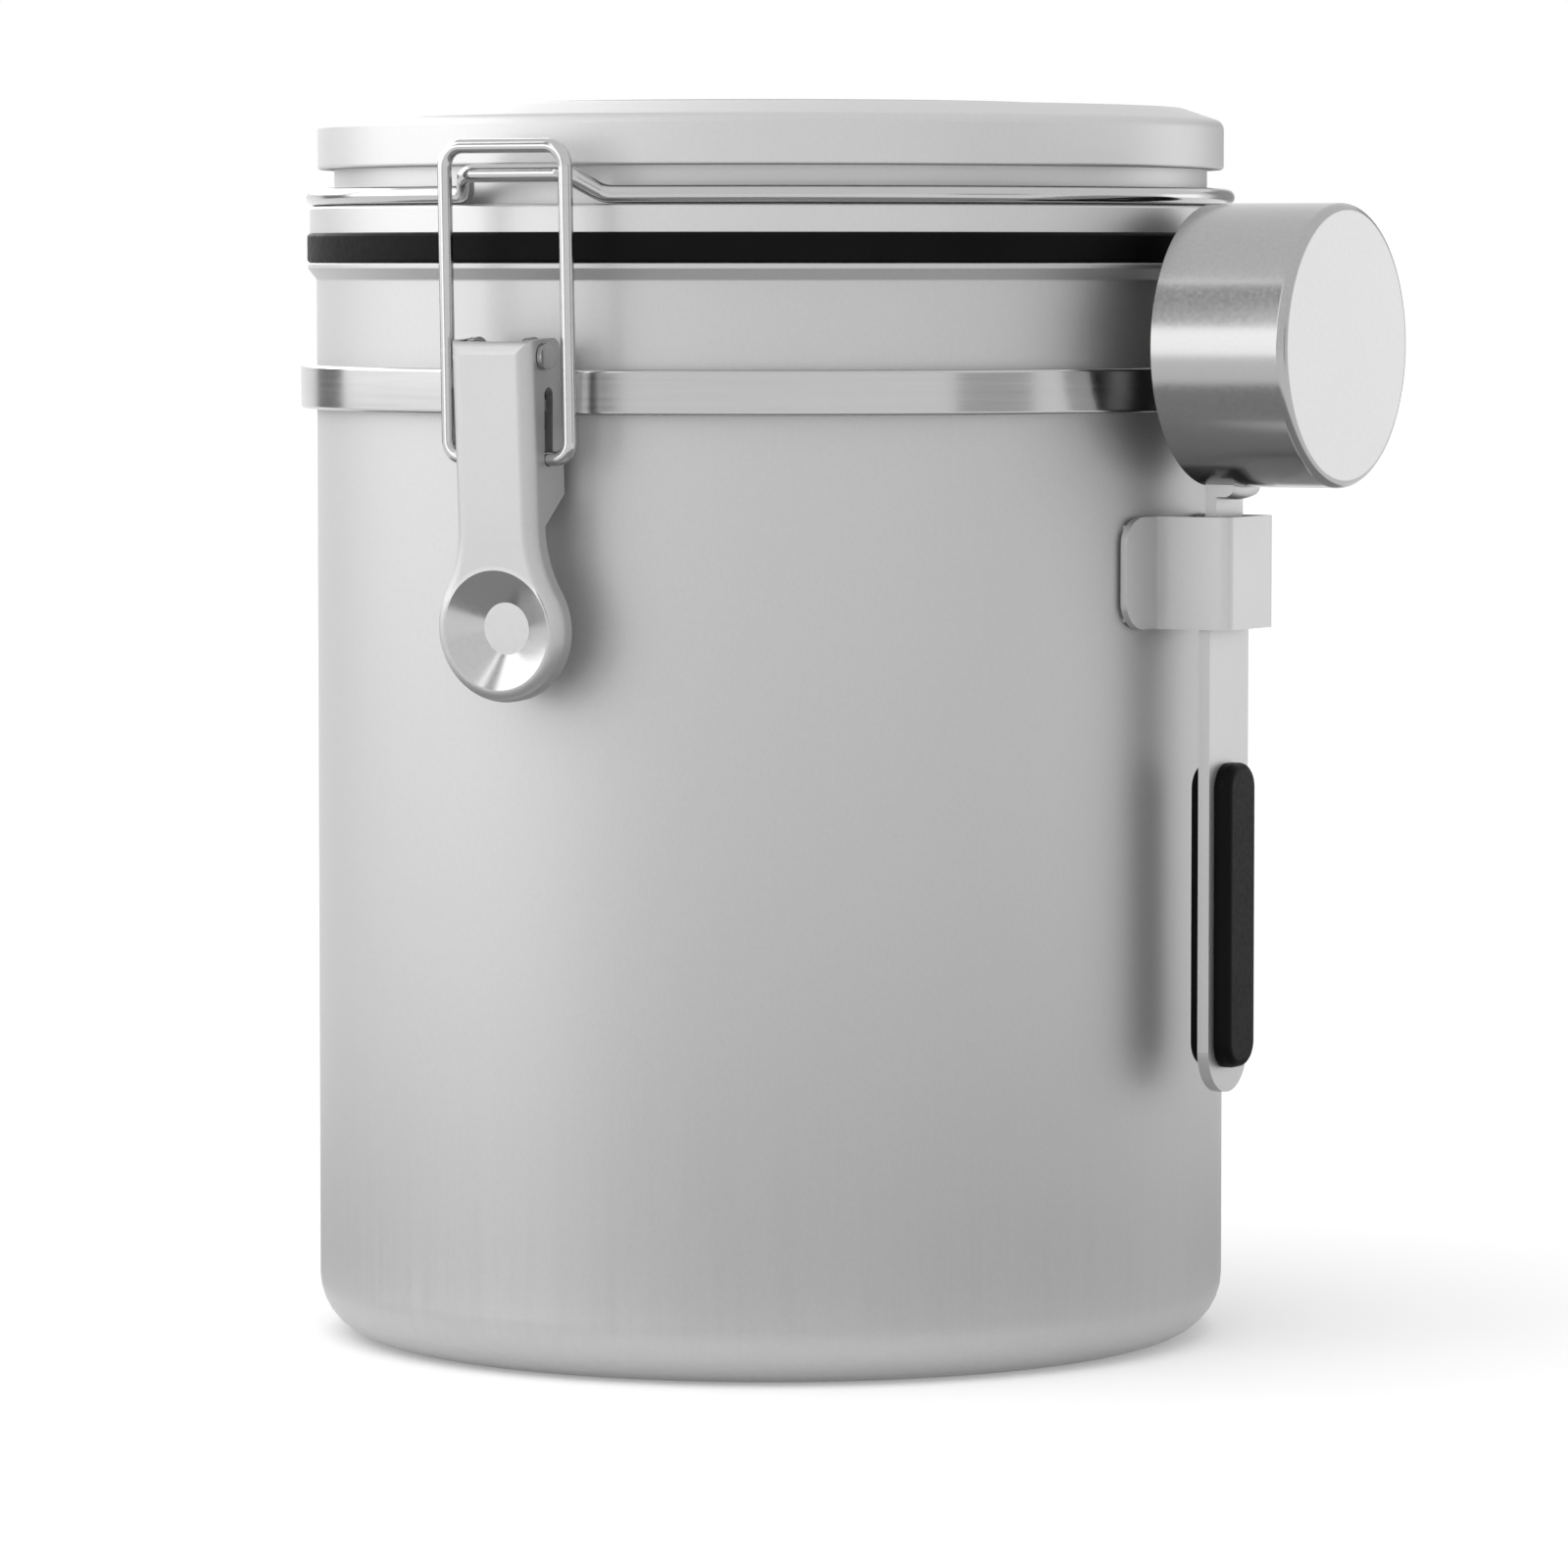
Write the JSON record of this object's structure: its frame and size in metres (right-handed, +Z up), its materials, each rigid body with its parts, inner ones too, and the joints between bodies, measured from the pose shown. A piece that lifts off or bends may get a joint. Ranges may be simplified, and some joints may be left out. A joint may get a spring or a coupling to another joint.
{
  "type": "food canister",
  "caption": "Round stainless food canister with a hinged gasket lid, wire toggle latch, date dials, vent valve and a scoop held in a side clip.",
  "frame": {"origin": "centre of the flat base that the canister stands on", "axes": "+Z up the canister's axis; the latch faces -Y, the lid hinge is at +Y and the scoop hangs at +X"},
  "size_m": [0.167, 0.1594, 0.185],
  "materials": {
    "body_steel": "fine satin stainless with a faint vertical grain",
    "lid_steel": "fine satin stainless, spun",
    "bright_steel": "bright polished stainless wire and strip",
    "lever_steel": "satin pressed stainless",
    "scoop_steel": "bright stainless",
    "satin_steel": "satin stainless strip",
    "screw_steel": "plain",
    "seal_rubber": "satin black",
    "grip_rubber": "soft matt black",
    "pale_plastic": "moulded satin",
    "dial_plastic": "moulded satin",
    "bezel_silver": "moulded, with a satin silver coat",
    "dial_face": "moulded satin",
    "pad_foam": "foam tape",
    "filter_cloth": "felt"
  },
  "bodies": {
    "canister": {"canister_body": "body_steel", "clamp_band": "bright_steel", "hinge_bracket": "bright_steel", "hinge_pin": "bright_steel", "hinge_rivets": "bright_steel", "latch_bracket": "bright_steel", "latch_rivets": "bright_steel", "lever_pin": "bright_steel", "scoop_clip": "satin_steel", "clip_pads": "pad_foam"},
    "lid": {"gasket": "seal_rubber", "lid_base": "lid_steel", "lid_cap": "lid_steel", "lid_liner": "pale_plastic", "dial_base": "bezel_silver", "liner_screws": "screw_steel", "valve_housing": "pale_plastic", "valve_filter": "filter_cloth", "valve_cap": "dial_plastic", "lid_ring": "bright_steel"},
    "day_dial": {"day_dial": "dial_face"},
    "month_dial": {"month_dial": "dial_face"},
    "valve_flap": {"valve_flap": "seal_rubber"},
    "lever": {"latch_lever": "lever_steel"},
    "bail": {"latch_bail": "bright_steel"},
    "scoop": {"scoop_cup": "scoop_steel", "scoop_handle": "satin_steel", "scoop_grip": "grip_rubber"}
  },
  "joints": [
    {"name": "lid_hinge", "type": "hinge", "parent": "canister", "child": "lid", "pos_m": [0, 0.076, 0.17105], "axis": [-1, 0, 0], "range_deg": [0, 100]},
    {"name": "lever_pivot", "type": "hinge", "parent": "canister", "child": "lever", "pos_m": [0, -0.076, 0.148], "axis": [-1, 0, 0], "range_deg": [0, 105]},
    {"name": "bail_swing", "type": "hinge", "parent": "lever", "child": "bail", "pos_m": [0, -0.0746, 0.1335], "axis": [1, 0, 0], "range_deg": [0, 135]},
    {"name": "day_dial_turn", "type": "hinge", "parent": "lid", "child": "day_dial", "pos_m": [0, 0, 0.1838], "axis": [0, 0, 1], "continuous": true},
    {"name": "month_dial_turn", "type": "hinge", "parent": "lid", "child": "month_dial", "pos_m": [0, 0, 0.1838], "axis": [0, 0, 1], "continuous": true},
    {"name": "valve_lift", "type": "slide", "parent": "lid", "child": "valve_flap", "axis": [0, 0, 1], "range_m": [0, 0.0015]},
    {"name": "scoop_lift", "type": "slide", "parent": "canister", "child": "scoop", "axis": [0, 0, 1], "range_m": [0, 0.09]}
  ],
  "couplings": [
    {"joint": "bail_swing", "follows": "lever_pivot", "ratio": 1.25}
  ]
}
